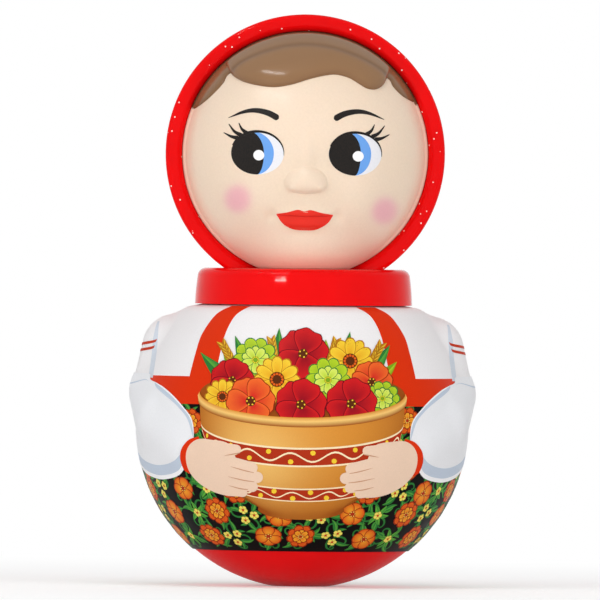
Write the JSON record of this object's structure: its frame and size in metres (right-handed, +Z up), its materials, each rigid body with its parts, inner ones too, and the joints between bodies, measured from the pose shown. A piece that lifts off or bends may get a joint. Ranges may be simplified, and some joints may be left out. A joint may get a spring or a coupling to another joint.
{
  "type": "roly-poly doll",
  "caption": "Weighted tumbler doll: ball body in a printed film, arms in relief, hooded head, and a chime with a swinging clapper inside. It stands up again when tipped.",
  "frame": {"origin": "middle of the flat sole under the base cup, on the surface that the toy stands on", "axes": "+Z up through the head, the face looks along -Y, +X is to the right as one looks at the face"},
  "size_m": [0.127, 0.1218, 0.21],
  "materials": {
    "base_red": "moulded, semi-gloss",
    "hood_red": "moulded, high gloss",
    "face_skin": "soft satin, painted features",
    "film_print": "printed shrink film",
    "body_white": "moulded",
    "ballast_iron": "as cast",
    "plated_steel": "zinc plated",
    "rod_steel": "polished",
    "block_brass": "machined",
    "frame_steel": "painted",
    "link_plastic": "moulded nylon"
  },
  "bodies": {
    "doll": {"base_cup": "base_red", "ballast_weight": "ballast_iron", "chime_plate": "plated_steel", "plate_screws": "plated_steel", "chime_block": "block_brass", "block_screws": "plated_steel", "chime_rod_1": "rod_steel", "chime_rod_2": "rod_steel", "chime_rod_3": "rod_steel", "chime_rod_4": "rod_steel", "chime_rod_5": "rod_steel", "chime_rod_6": "rod_steel", "chime_rod_7": "rod_steel", "chime_rod_8": "rod_steel", "clapper_frame": "frame_steel", "frame_screws": "plated_steel", "hanger_pin": "plated_steel", "body_shell": "body_white", "printed_sleeve": "film_print", "collar": "hood_red", "neck_clip": "plated_steel", "hood_shell": "hood_red", "hood_rim": "hood_red", "face_mask": "face_skin"},
    "swivel": {"swivel_link": "link_plastic"},
    "clapper": {"clapper_pin": "plated_steel", "clapper_rod": "plated_steel", "clapper_ball": "rod_steel"}
  },
  "joints": [
    {"name": "clapper_swing_fore_aft", "type": "hinge", "parent": "doll", "child": "swivel", "pos_m": [0, 0, 0.08303], "axis": [1, 0, 0], "range_deg": [-9.4, 9.4]},
    {"name": "clapper_swing_side", "type": "hinge", "parent": "swivel", "child": "clapper", "pos_m": [0, 0, 0.07403], "axis": [0, 1, 0], "range_deg": [-12.2, 12.2]}
  ]
}
